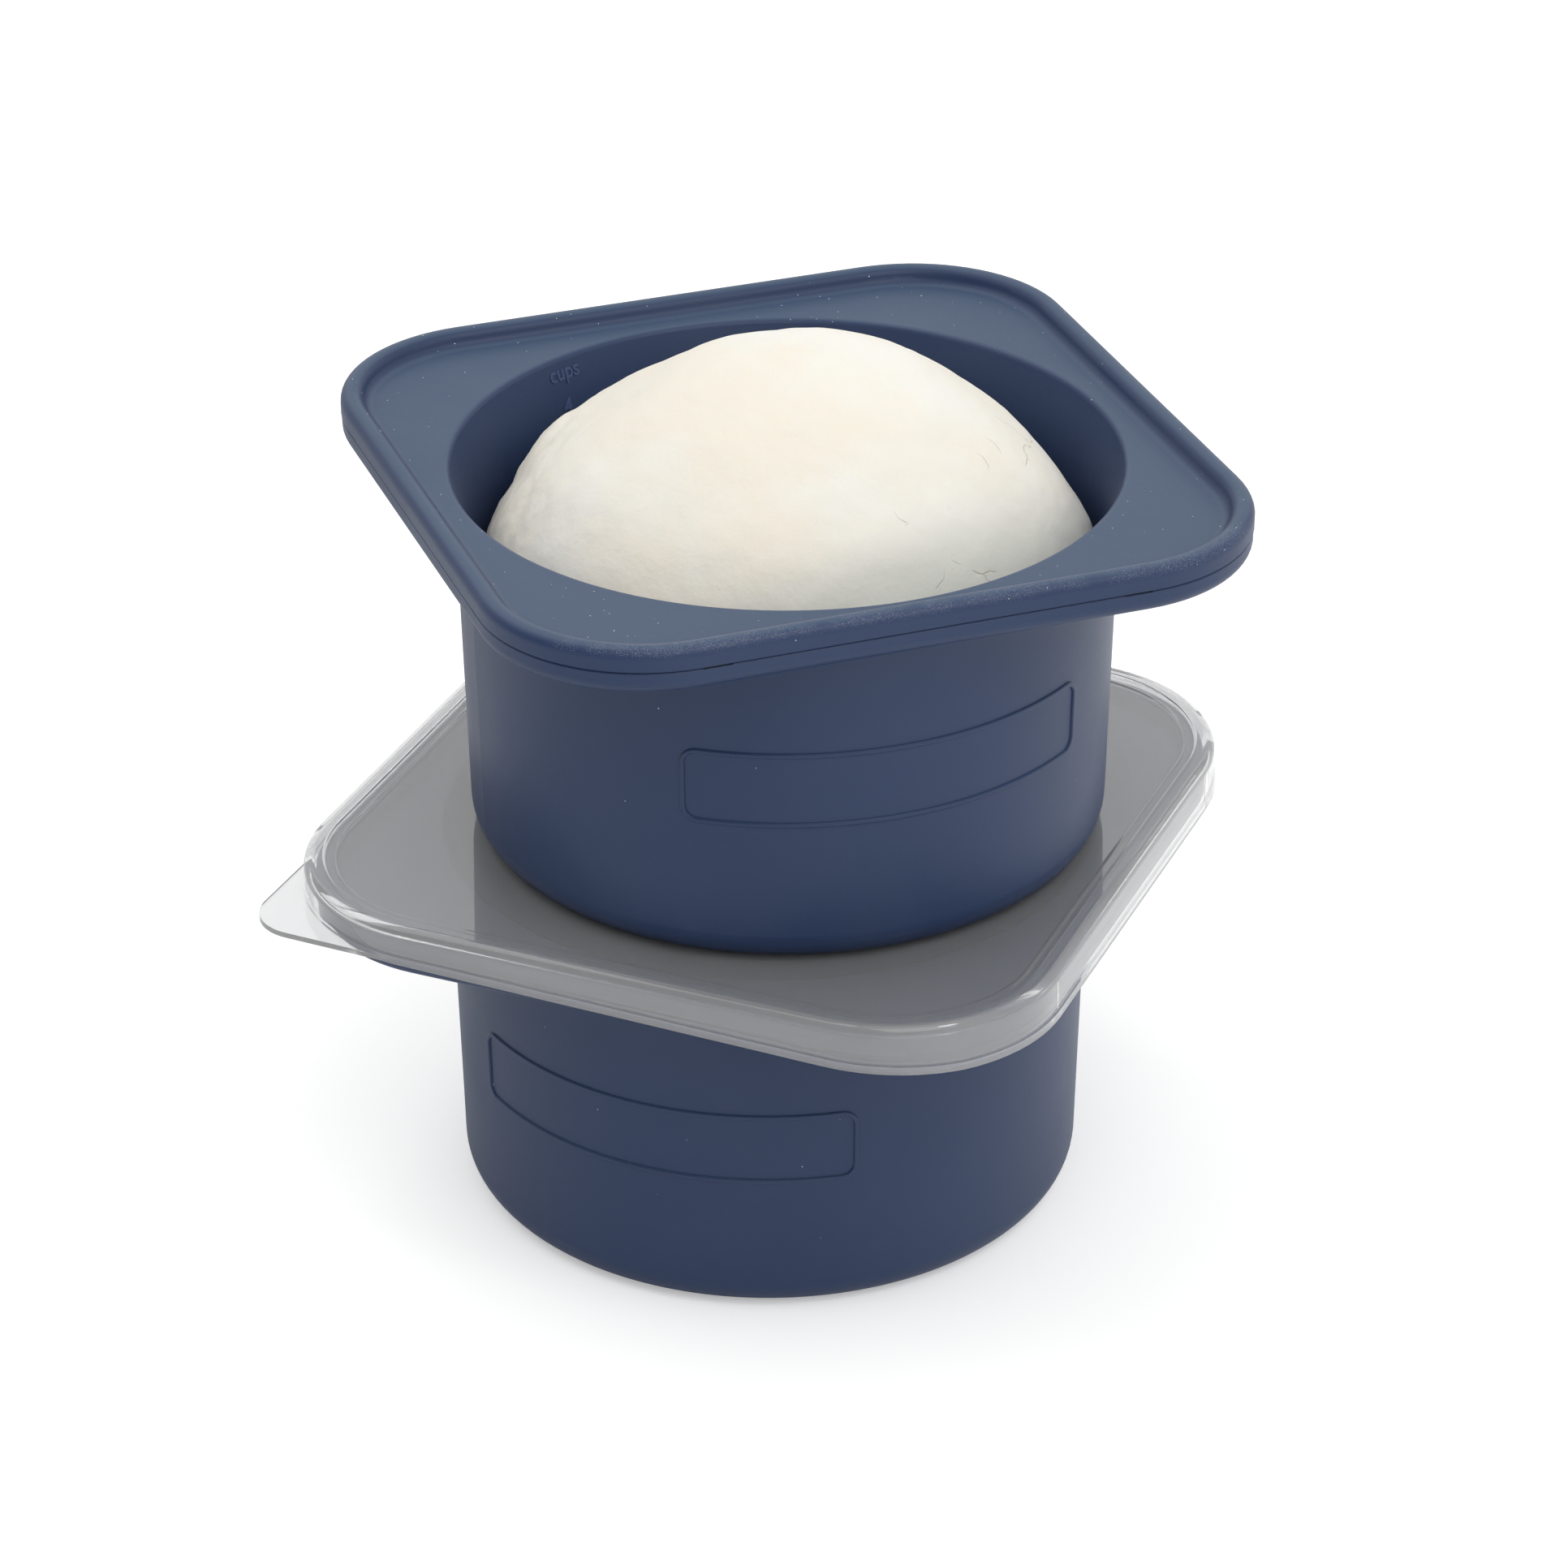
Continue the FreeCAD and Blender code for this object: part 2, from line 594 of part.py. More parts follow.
def make_lid(name):
    body = new_body(f"{name}_moulding")
    sweep_round_rim(body, f"{name}_border", "Additive", lid_border_section(body, f"{name}_border_section"))
    panel = new_sketch(body, f"{name}_panel_outline", "XY_Plane", LID_UNDERSIDE)
    outline(panel, rounded_square(f"({PANEL_EDGE} - sizes.lid_band_width / 2)"))
    pad(body, f"{name}_panel", panel, "sizes.lid_thickness")
    lip_ring(body, f"{name}_lip", "sizes.lid_lip_height")

    tab = new_body(f"{name}_tab")
    sketch = tab_outline(tab, f"{name}_tab_outline")
    pad(tab, f"{name}_tab_plate", sketch, "(2 * sizes.tab_thickness)").Midplane = True

    whole = doc.addObject("Part::MultiFuse", f"{name}_whole")
    whole.Shapes = [body, raised_lip(f"{name}_raised_lip"), tab]
    below = new_body(f"{name}_below_edge")
    sketch = peeled_sketch(below, f"{name}_below_edge_outline")
    reach = f"(2 * {LIP_OUTSIDE})"
    outline(sketch, rectangle(f"-{reach}", f"-{reach}", reach, reach))
    pad(below, f"{name}_below_edge_block", sketch, "sizes.lid_skirt_depth").Reversed = True

    lid = doc.addObject("Part::Cut", name)
    lid.Base = whole
    lid.Tool = below
    lid.Label = name
    return lid


# Dough

def make_dough(name):
    """A ball of dough that fills the bowl and domes over its rim: a tight shoulder, then a wide crown."""
    body = new_body(name)
    bottom = "(sizes.floor_thickness + sizes.dough_floor_gap)"
    foot = f"({FLOOR} - sizes.dough_wall_gap)"
    corner = "sizes.dough_bottom_radius"
    level = "sizes.dough_shoulder_height"
    girth = f"({wall_inside(level)} - sizes.dough_wall_gap)"
    bend = "sizes.dough_shoulder_radius"
    rise = "sizes.dough_dome_height"
    run = f"({girth} - {bend})"
    crown = f"(({run} ^ 2 + {rise} ^ 2 - {bend} ^ 2) / (2 * ({rise} - {bend})))"
    top = f"({level} + {rise})"
    share = f"({crown} / ({crown} - {bend}))"
    section = new_sketch(body, f"{name}_section", "XZ_Plane")
    outline(section, [
        ("0", bottom),
        (f"({foot} - {corner})", bottom, corner, "left"),
        (foot, f"({bottom} + {corner})"),
        (girth, level, bend, "left"),
        (f"({run} * {share})", f"({top} - {crown} + ({crown} - {rise}) * {share})", crown, "left"),
        ("0", top),
    ])
    revolve(body, f"{name}_ball", section)
    body.Label = name
    return body


# Assembly

def stand_on_lid(part):
    """Sets a piece of the upper container's frame down on the lid's panel, shifted and turned."""
    part.setExpression("Placement.Base.x", "sizes.upper_shift_x")
    part.setExpression("Placement.Base.y", "sizes.upper_shift_y")
    part.setExpression("Placement.Base.z", PANEL_TOP)
    part.Placement = FreeCAD.Placement(FreeCAD.Vector(), FreeCAD.Rotation(FreeCAD.Vector(0, 0, 1), 1))
    part.setExpression("Placement.Rotation.Angle", "sizes.upper_turn")


pieces = [
    make_container("lower_container"),
    make_rim_frame("lower_rim_frame"),
    make_lid("lid"),
    make_container("upper_container"),
    make_rim_frame("upper_rim_frame"),
    make_dough("dough"),
]
for piece in pieces[3:]:
    stand_on_lid(piece)
doc.recompute()

for thing in doc.Objects:
    if "Invalid" in thing.State or "Error" in thing.State:
        raise RuntimeError(f"{thing.Name} failed: {thing.State}")
for piece in pieces:
    if piece.Shape.isNull() or not piece.Shape.isValid() or len(piece.Shape.Solids) != 1:
        raise RuntimeError(f"{piece.Label} is not one valid solid")

os.makedirs("parts", exist_ok=True)
for piece in pieces:
    piece.Shape.exportStep(f"parts/{piece.Label}.step")
    print(piece.Label, f"{piece.Shape.Volume / 1000:.1f} ml", piece.Shape.BoundBox)
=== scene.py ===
import math

import bmesh
import bpy
from mathutils import Matrix, Vector, noise
from mathutils.bvhtree import BVHTree


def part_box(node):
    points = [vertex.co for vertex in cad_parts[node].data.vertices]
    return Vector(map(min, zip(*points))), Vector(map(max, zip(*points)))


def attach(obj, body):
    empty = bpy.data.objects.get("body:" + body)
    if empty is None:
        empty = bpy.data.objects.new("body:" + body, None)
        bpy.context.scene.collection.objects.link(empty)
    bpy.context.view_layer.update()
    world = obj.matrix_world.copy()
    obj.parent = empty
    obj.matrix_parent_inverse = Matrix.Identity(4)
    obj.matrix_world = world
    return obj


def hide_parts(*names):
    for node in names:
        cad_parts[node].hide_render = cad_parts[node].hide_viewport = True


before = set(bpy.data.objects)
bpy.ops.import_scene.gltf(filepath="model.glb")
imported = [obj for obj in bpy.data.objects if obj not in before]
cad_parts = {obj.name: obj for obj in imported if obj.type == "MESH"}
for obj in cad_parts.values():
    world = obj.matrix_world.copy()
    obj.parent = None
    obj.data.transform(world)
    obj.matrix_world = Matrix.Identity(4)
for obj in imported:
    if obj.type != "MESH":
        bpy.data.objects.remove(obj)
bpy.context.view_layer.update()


# Containers
# Two bowls from one mould, in soft navy silicone cast round a steel wire in the rim. The mould leaves a
# satin, finely grained skin, paler where hands have rubbed it. What faces up is paler, partly from fine
# flour dust and partly painted light from above. The crest at the front of the upper rim has a pale frost
# of flour with a painted highlight in it.

class Socket:
    """An output of one of a tree's nodes. Arithmetic on it adds Math nodes to the tree."""

    def __init__(self, tree, output):
        self.tree = tree
        self.output = output

    def math(self, operation, *terms):
        return self.tree.node("ShaderNodeMath", {"operation": operation}, dict(enumerate(terms)))

    def __add__(self, other):
        return self.math("ADD", self, other)

    __radd__ = __add__

    def __sub__(self, other):
        return self.math("SUBTRACT", self, other)

    def __rsub__(self, other):
        return self.math("SUBTRACT", other, self)

    def __mul__(self, other):
        return self.math("MULTIPLY", self, other)

    __rmul__ = __mul__

    def __or__(self, other):
        return self.math("MAXIMUM", self, other)

    def __gt__(self, other):
        return self.math("GREATER_THAN", self, other)

    def __lt__(self, other):
        return self.math("LESS_THAN", self, other)


class Tree:
    """A node tree that is being written: shader nodes or geometry nodes."""

    def __init__(self, nodes):
        self.nodes = nodes

    def node(self, kind, settings={}, sockets={}, output=0):
        """Adds a node, applies its settings, and feeds its sockets with values or with other sockets."""
        made = self.nodes.nodes.new(kind)
        for name, setting in settings.items():
            setattr(made, name, setting)
        for name, value in sockets.items():
            self.feed(made.inputs[name], value)
        return Socket(self, made.outputs[output])

    def feed(self, socket, value):
        if isinstance(value, Socket):
            self.nodes.links.new(value.output, socket)
        else:
            socket.default_value = value

    def minus(self, first, second):
        """The vector from the second place to the first."""
        return self.node("ShaderNodeVectorMath", {"operation": "SUBTRACT"}, {0: first, 1: second})

    def dot(self, first, second):
        """How far one vector reaches along another."""
        sockets = {0: first, 1: second}
        return self.node("ShaderNodeVectorMath", {"operation": "DOT_PRODUCT"}, sockets, output="Value")

    def upward(self, vector):
        """The Z part of a vector."""
        return self.node("ShaderNodeSeparateXYZ", {}, {0: vector}, output="Z")

    def ramp(self, value, low, high):
        """0 where value is under low and 1 where it is over high, eased between them."""
        sockets = {"Value": value, "From Min": low, "From Max": high}
        return self.node("ShaderNodeMapRange", {"interpolation_type": "SMOOTHSTEP"}, sockets)

    def ray(self, kind):
        """1 for rays of one kind, and 0 for the rest."""
        return self.node("ShaderNodeLightPath", output=f"Is {kind} Ray")


class Finish(Tree):
    """A material with one Principled surface, whose own sockets take constants or sockets."""

    def __init__(self, name, constants):
        self.material = bpy.data.materials.new(name)
        self.material.use_nodes = True
        super().__init__(self.material.node_tree)
        self.surface = self.nodes.nodes["Principled BSDF"]
        self.place = self.node("ShaderNodeTexCoord", output="Object")
        self.set(constants)

    def set(self, sockets):
        for name, value in sockets.items():
            self.feed(self.surface.inputs[name], value)

    def mottle(self, per_metre, detail=3.0):
        """Cloudy variation between 0 and 1, with so many clouds to the metre."""
        sockets = {"Vector": self.place, "Scale": per_metre, "Detail": detail}
        return self.node("ShaderNodeTexNoise", {}, sockets)

    def mix(self, factor, first, second):
        """A colour between two colours."""
        return self.node("ShaderNodeMix", {"data_type": "RGBA"}, {0: factor, 6: first, 7: second}, output=2)

    def along(self, side, start=(0, 0, 0)):
        """How far a place lies from start, measured along a direction."""
        return self.dot(self.minus(self.place, start), side)

    def bump(self, height, metres, below=None):
        """A normal that follows a height between 0 and 1, so many metres deep."""
        sockets = {"Height": height, "Distance": metres, "Strength": 1.0}
        if below:
            sockets["Normal"] = below
        return self.node("ShaderNodeBump", {}, sockets)


UP = (0, 0, 1)
NAVY = (0.015, 0.035, 0.098, 1)
RUBBED_NAVY = (0.022, 0.042, 0.104, 1)
# paler navy for the letters: painted highlight where light catches them
LETTER_HIGHLIGHT_NAVY = (0.036, 0.062, 0.150, 1)
# paler navy on faces that look up, partly flour dust and partly painted light from above
DUST_AND_TOP_LIGHT_NAVY = (0.040, 0.072, 0.134, 1)
# pale frost on the crest at the front of the upper rim: flour with a painted highlight in it
FROST_AND_HIGHLIGHT_NAVY = (0.135, 0.165, 0.235, 1)
RUBBED_CLOUDS = 22
RUBBED_RANGE = (0.42, 0.75)
DUST_AND_TOP_LIGHT_SLOPE = (0.72, 0.99)
FROST_GRAINS = 5200
FROST_GRAIN_RANGE = (0.50, 0.68)
FROST_CLOUDS = 130
FROST_CLOUD_RANGE = (0.30, 0.55)
FROST_AND_HIGHLIGHT_SIDE = (0.68, -0.734, 0)
FROST_AND_HIGHLIGHT_REACH = (0.072, 0.077)
FROST_AND_HIGHLIGHT_LEVEL = (0.1715, 0.1732)
SILICONE_IOR = 1.44
SATIN_ROUGHNESS = 0.42
RUBBED_ROUGHNESS = 0.06
FINE_ROUGHNESS = 0.05
FINE_CLOUDS = 900
SKIN_WAVES = 55
SKIN_WAVE = 0.0001
SKIN_GRAINS = 2600
SKIN_GRAIN = 0.00002


def silicone_finish(name, tone, rubbed_tone):
    finish = Finish(name, {"IOR": SILICONE_IOR})
    rubbed = finish.ramp(finish.mottle(RUBBED_CLOUDS), *RUBBED_RANGE)
    facing = finish.node("ShaderNodeTexCoord", output="Normal")
    # paler where faces look up: flour dust together with painted light from above
    dusted = finish.ramp(finish.upward(facing), *DUST_AND_TOP_LIGHT_SLOPE)
    # frost of flour and painted highlight, only on the crest of the upper rim's front side
    frost_and_highlight = finish.ramp(finish.mottle(FROST_GRAINS, detail=2.0), *FROST_GRAIN_RANGE)
    frost_and_highlight = frost_and_highlight * finish.ramp(finish.mottle(FROST_CLOUDS), *FROST_CLOUD_RANGE)
    frost_and_highlight = frost_and_highlight * finish.ramp(finish.along(FROST_AND_HIGHLIGHT_SIDE), *FROST_AND_HIGHLIGHT_REACH)
    frost_and_highlight = frost_and_highlight * finish.ramp(finish.along(UP), *FROST_AND_HIGHLIGHT_LEVEL)
    clean = finish.mix(rubbed, tone, rubbed_tone)
    waves = finish.bump(finish.mottle(SKIN_WAVES), SKIN_WAVE)
    finish.set({
        "Base Color": finish.mix(frost_and_highlight, finish.mix(dusted, clean, DUST_AND_TOP_LIGHT_NAVY), FROST_AND_HIGHLIGHT_NAVY),
        "Roughness": (
            SATIN_ROUGHNESS + RUBBED_ROUGHNESS * rubbed
            + FINE_ROUGHNESS * finish.mottle(FINE_CLOUDS, detail=4.0)),
        "Normal": finish.bump(finish.mottle(SKIN_GRAINS, detail=2.0), SKIN_GRAIN, waves),
    })
    return finish.material


def dress(node, material):
    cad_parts[node].data.materials.clear()
    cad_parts[node].data.materials.append(material)


silicone = silicone_finish("silicone", NAVY, RUBBED_NAVY)
dress("lower_container", silicone)
dress("upper_container", silicone)


# Volume scale
# Raised letters and figures in the bowl's wall, cut into the mould's core, so they are the same silicone,
# but
# in a paler navy: a painted highlight for the light that catches them.
# The word cups stands under the mouth, and below it a figure at the level of each cup.

UPPER_TURN = math.radians(42.8)
BOWL_FLOOR = 0.003
FLOOR_RADIUS = 0.0653
MOUTH_RADIUS = 0.067
DECK_LEVEL = 0.0825
MOUTH_FLARE = 0.0029
FLARE_DEPTH = 0.020
MOUTH_ROUND = 0.0013
US_CUP = 2.366e-4
CUPS = 4
WORD_BEARING = math.radians(114.1)
WORD_LEVEL = 0.0778
WORD_HEIGHT = 0.0046
FIGURE_BEARING = math.radians(114.5)
FIGURE_HEIGHT = 0.0048
FIGURE_MIDDLE = 1 / 3
LETTER_RAISE = 0.00025
LETTER_ROOT = 0.00015
LETTER_EDGE = 0.0001
LETTER_STEPS = 4
WELD = 1e-7


def bowl_radius(level):
    """The inner radius of the bowl at a height above its base. The wall flares below the mouth."""
    flare_level = DECK_LEVEL - FLARE_DEPTH
    share = (min(level, flare_level) - BOWL_FLOOR) / (DECK_LEVEL - BOWL_FLOOR)
    upright = FLOOR_RADIUS + (MOUTH_RADIUS - FLOOR_RADIUS) * share
    if level <= flare_level:
        return upright
    run = MOUTH_RADIUS + MOUTH_FLARE - upright
    bend = (run ** 2 + FLARE_DEPTH ** 2) / (2 * run)
    return upright + bend - math.sqrt(bend ** 2 - (level - flare_level) ** 2)


def link(name, data):
    made = bpy.data.objects.new(name, data)
    bpy.context.scene.collection.objects.link(made)
    return made


def finished_mesh(source):
    """The plain mesh that an object gives once its modifiers have run. The object itself is removed."""
    bpy.context.view_layer.update()
    graph = bpy.context.evaluated_depsgraph_get()
    mesh = bpy.data.meshes.new_from_object(source.evaluated_get(graph))
    bpy.data.objects.remove(source)
    return mesh


def letters_on_wall(form, text, height, bearing, level):
    """Adds raised letters to form, bent round the bowl's inner wall and read from inside it."""
    curve = bpy.data.curves.new("letters", "FONT")
    curve.body = text
    curve.align_x = "CENTER"
    curve.size = height
    curve.extrude = (LETTER_RAISE + LETTER_ROOT) / 2 - LETTER_EDGE
    curve.bevel_depth = LETTER_EDGE
    curve.resolution_u = LETTER_STEPS
    flat = finished_mesh(link("letters", curve))
    for vertex in flat.vertices:
        across, up, out = vertex.co
        depth = out + (LETTER_RAISE - LETTER_ROOT) / 2
        reach = bowl_radius(level + up) - depth
        turn = bearing - across / bowl_radius(level)
        vertex.co = (reach * math.cos(turn), reach * math.sin(turn), level + up)
    form.from_mesh(flat)
    bpy.data.meshes.remove(flat)


def volume_scale(name, node, body, turn):
    """The scale of one bowl, which stands on the bowl's own axis and turns with it."""
    form = bmesh.new()
    letters_on_wall(form, "cups", WORD_HEIGHT, WORD_BEARING, WORD_LEVEL)
    middle = (FLOOR_RADIUS + MOUTH_RADIUS) / 2
    for cup in range(1, CUPS + 1):
        level = BOWL_FLOOR + cup * US_CUP / (math.pi * middle ** 2) - FIGURE_HEIGHT * FIGURE_MIDDLE
        letters_on_wall(form, str(cup), FIGURE_HEIGHT, FIGURE_BEARING, level)
    bmesh.ops.remove_doubles(form, verts=form.verts, dist=WELD)
    low, high = (Vector(corner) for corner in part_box(node))
    place = Vector(((low.x + high.x) / 2, (low.y + high.y) / 2, low.z))
    form.transform(Matrix.Translation(place) @ Matrix.Rotation(turn, 4, "Z"))
    scale = link(name, bpy.data.meshes.new(name))
    form.to_mesh(scale.data)
    form.free()
    scale.data.materials.append(letter_highlight_silicone)
    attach(scale, body)


# the letters get a paler copy of the silicone, a painted highlight
letter_highlight_silicone = silicone_finish("letter_highlight_silicone", LETTER_HIGHLIGHT_NAVY, LETTER_HIGHLIGHT_NAVY)
volume_scale("lower_volume_scale", "lower_container", "lower", 0)
volume_scale("upper_volume_scale", "upper_container", "upper", UPPER_TURN)


# Rim frames
# A closed loop of drawn steel wire inside each rim, which keeps the soft flange flat and square.

STEEL = (0.56, 0.57, 0.58, 1)
DULL_STEEL = (0.42, 0.42, 0.43, 1)
DRAWN_CLOUDS = 420
BRIGHT_ROUGHNESS = 0.24
DULL_ROUGHNESS = 0.2
DRAWN_GRAINS = 3000
DRAWN_GRAIN = 0.00001


def wire_finish():
    finish = Finish("drawn_wire", {"Metallic": 1.0})
    drawn = finish.mottle(DRAWN_CLOUDS)
    finish.set({
        "Base Color": finish.mix(drawn, STEEL, DULL_STEEL),
        "Roughness": BRIGHT_ROUGHNESS + DULL_ROUGHNESS * drawn,
        "Normal": finish.bump(finish.mottle(DRAWN_GRAINS), DRAWN_GRAIN),
    })
    return finish.material


wire = wire_finish()
dress("lower_rim_frame", wire)
dress("upper_rim_frame", wire)


# Lid
# A thin pressed lid of clear plastic with a little milk in it, glossy on both sides. The dark bowl shows
# through it as grey, and the pull tab, which hangs over the worktop, is nearly white.

MILKY_CLEAR = (0.895, 0.90, 0.905, 1)
MILKIER_CLEAR = (0.855, 0.86, 0.87, 1)
LID_CLEARNESS = 0.82
LID_IOR = 1.62
LID_CLOUDS = 35
GLOSS_ROUGHNESS = 0.02
HAZE_ROUGHNESS = 0.04
HAZE_CLOUDS = 160
LID_WAVES = 18
LID_WAVE = 0.0001


def lid_finish():
    finish = Finish("milky_plastic", {"Transmission Weight": LID_CLEARNESS, "IOR": LID_IOR})
    finish.set({
        "Base Color": finish.mix(finish.mottle(LID_CLOUDS), MILKY_CLEAR, MILKIER_CLEAR),
        "Roughness": GLOSS_ROUGHNESS + HAZE_ROUGHNESS * finish.mottle(HAZE_CLOUDS),
        "Normal": finish.bump(finish.mottle(LID_WAVES, detail=1.0), LID_WAVE),
    })
    return finish.material


dress("lid", lid_finish())


# Dough
# A ball of wheat dough, risen until it fills the bowl and domes over the rim. Its skin is matte and gently
# uneven, with flour rubbed into it, a fold at one side and hair cracks where it has stretched. Low on its
# front right side, near the rim, its colour holds a darker band of painted shade.

BALL_SUBDIVISIONS = 7
SHOULDER = 0.138
DOME = 0.0548
SKIN_FREE = 0.018
LEAN = Vector((0.0008, 0.0006, 0))
SHOULDER_SWELL = 0.0014
SWELL_FROM = (0.004, 0.018)
SWELL_TO = (0.030, 0.046)
# each dent: the side of the ball it faces, how near that side it starts, and its depth (under 0: a bulge)
SKIN_DENTS = (
    (Vector((-0.80, 0.03, 0.60)), 0.84, 0.0013),
    (Vector((0.60, 0.60, 0.53)), 0.85, 0.0013),
    (Vector((-0.32, 0.38, 0.87)), 0.93, 0.0004),
    (Vector((0.10, 0.53, 0.84)), 0.92, -0.0006),
    (Vector((-0.89, -0.08, 0.45)), 0.985, -0.0012),
)
RAGGED_SIDE = Vector((-0.92, -0.39, 0))
RAGGED_REACH = (0.55, 0.85)
RAGGED_LUMPS = ((190, 0.0003), (480, 0.00014))
SKIN_LUMPS = ((36, 0.0007), (95, 0.0003), (310, 0.00012))
SKIN_SINK = 0.0003
TOP_ROOM = 0.0001
FOLD_BEARING = math.radians(206)
FOLD_WIDTH = math.radians(1.2)
FOLD_REACH = math.radians(34)
FOLD_DEPTH = 0.0006
FOLD_TOP = 0.168
FOLD_FADE = 0.006
FOLD_WANDER = math.radians(5)
FOLD_WAVES = 130


def eased(value, low, high):
    share = min(max((value - low) / (high - low), 0), 1)
    return share * share * (3 - 2 * share)


def fold_depth(point, axis):
    """How far the skin drops behind the edge of the fold on the left of the ball."""
    bearing = math.atan2(point.y - axis.y, point.x - axis.x) % math.tau
    behind = FOLD_BEARING + FOLD_WANDER * noise.noise(point * FOLD_WAVES) - bearing
    step = eased(behind, 0, FOLD_WIDTH) * (1 - eased(behind, FOLD_WIDTH, FOLD_REACH))
    return FOLD_DEPTH * step * (1 - eased(point.z, FOLD_TOP - FOLD_FADE, FOLD_TOP))


def risen(point, normal, axis, top):
    """Where a point of the plain ball lies on the risen one. The skin is free only above the wall."""
    height = point.z - SHOULDER
    free = eased(height, 0, SKIN_FREE)
    swell = -SKIN_SINK - fold_depth(point, axis)
    swell += SHOULDER_SWELL * eased(height, *SWELL_FROM) * (1 - eased(height, *SWELL_TO))
    facing = (point - Vector((axis.x, axis.y, SHOULDER))).normalized()
    for side, reach, depth in SKIN_DENTS:
        swell -= depth * eased(facing.dot(side), reach, 1)
    ragged = eased(facing.dot(RAGGED_SIDE), *RAGGED_REACH)
    for per_metre, size in RAGGED_LUMPS:
        swell += ragged * size * noise.noise(point * per_metre)
    for per_metre, size in SKIN_LUMPS:
        swell += size * noise.noise(point * per_metre)
    moved = point + free * swell * normal + LEAN * max(height / DOME, 0)
    moved.z = min(moved.z, top - TOP_ROOM)
    return moved


def dough_ball():
    """An even ball of small faces, cast from its middle on to the plain solid and then risen."""
    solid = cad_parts["dough"].data
    faces = [tuple(face.vertices) for face in solid.polygons]
    plain = BVHTree.FromPolygons([vertex.co for vertex in solid.vertices], faces)
    low, high = (Vector(corner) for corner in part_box("dough"))
    middle = (low + high) / 2
    form = bmesh.new()
    bmesh.ops.create_icosphere(form, subdivisions=BALL_SUBDIVISIONS, radius=1)
    for vertex in form.verts:
        point, normal = plain.ray_cast(middle, vertex.co)[:2]
        vertex.co = risen(point, normal, middle, high.z)
    for face in form.faces:
        face.smooth = True
    ball = link("dough_ball", bpy.data.meshes.new("dough_ball"))
    form.to_mesh(ball.data)
    form.free()
    return ball


CREAM = (0.81, 0.765, 0.665, 1)
FLOUR = (0.82, 0.80, 0.735, 1)
CRACK = (0.66, 0.61, 0.51, 1)
# painted shade: a darker, greyer tone for the dough low on its front right side, near the rim
PAINTED_SHADE_TONE = (0.67, 0.67, 0.61, 1)
PAINTED_SHADE_MIDDLE = (0.0056, -0.0025, 0.138)
PAINTED_SHADE_SIDE = (0.544, -0.339, -0.768)
PAINTED_SHADE_REACH = (-0.002, 0.0145)
PAINTED_SHADE_LEVEL = (0.134, 0.168)
FLOUR_CLOUDS = 26
FLOUR_RANGE = (0.35, 0.60)
CRACK_CELLS = 55.0
CRACK_WANDER = 0.006
CRACK_WAVES = 160.0
CRACK_WIDTH = 0.011
CRACK_DEPTH = 0.0002
CRACK_TINT = 0.4
STRETCH_CLOUDS = 48
STRETCH_RANGE = (0.61, 0.67)
DOUGH_GRAINS = 750
DOUGH_GRAIN = 0.00012
SKIN_ROUGHNESS = 0.72
FLOUR_ROUGHNESS = 0.16


def dough_finish():
    finish = Finish("dough", {
        "Subsurface Weight": 0.35,
        "Subsurface Radius": (1.0, 0.75, 0.5),
        "Subsurface Scale": 0.004,
        "IOR": 1.4,
    })
    floury = 1 - finish.ramp(finish.mottle(FLOUR_CLOUDS), *FLOUR_RANGE)
    waves = {"Vector": finish.place, "Scale": CRACK_WAVES}
    shift = finish.node("ShaderNodeVectorMath", {"operation": "SCALE"}, {
        0: finish.node("ShaderNodeTexNoise", {}, waves, output="Color"), "Scale": CRACK_WANDER,
    })
    shifted = finish.node("ShaderNodeVectorMath", {"operation": "ADD"}, {0: finish.place, 1: shift})
    cells = {"Vector": shifted, "Scale": CRACK_CELLS}
    edge = finish.node("ShaderNodeTexVoronoi", {"feature": "DISTANCE_TO_EDGE"}, cells)
    stretched = finish.ramp(finish.mottle(STRETCH_CLOUDS), *STRETCH_RANGE)
    crack = stretched * (1 - finish.ramp(edge, 0.0, CRACK_WIDTH))
    grain = finish.bump(finish.mottle(DOUGH_GRAINS, detail=4.0), DOUGH_GRAIN)
    # painted shade, darker towards the front right and down, above the shoulder
    painted_shade = finish.ramp(finish.along(PAINTED_SHADE_SIDE, PAINTED_SHADE_MIDDLE), *PAINTED_SHADE_REACH)
    painted_shade = painted_shade * finish.ramp(finish.along(UP), *PAINTED_SHADE_LEVEL)
    skin = finish.mix(painted_shade, finish.mix(floury, CREAM, FLOUR), PAINTED_SHADE_TONE)
    finish.set({
        "Base Color": finish.mix(CRACK_TINT * crack, skin, CRACK),
        "Roughness": SKIN_ROUGHNESS + FLOUR_ROUGHNESS * floury,
        "Normal": finish.bump(1 - crack, CRACK_DEPTH, grain),
    })
    return finish.material


dough = dough_ball()
dough.data.materials.append(dough_finish())
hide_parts("dough")
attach(dough, "dough")


# Flour
# Flecks of flour and crumbs of dry dough that fell on the containers while the dough was shaped. They lie
# on the flange, the rim and the outside of the wall.

FLECK_SIZE = 0.00007
FLECK_FLATNESS = 0.5
FLECK_GROWTH = (0.5, 1.8)
FLECK_LENGTH = (0.7, 2.2)
FLECK_SEED = 11
TOP_SLOPE = 0.3
WALL_SLOPE = -0.2
WALL_OUT = 0.03
FLECKS_ON_TOP = 15000.0
FLECKS_ON_WALL = 500.0
FLOUR_WHITE = (0.80, 0.81, 0.82, 1)
FLOUR_GREY = (0.62, 0.64, 0.66, 1)
SPECK_CLOUDS = 300
POWDER_CLOUDS = 900
POWDER_ROUGHNESS = (0.8, 0.1)


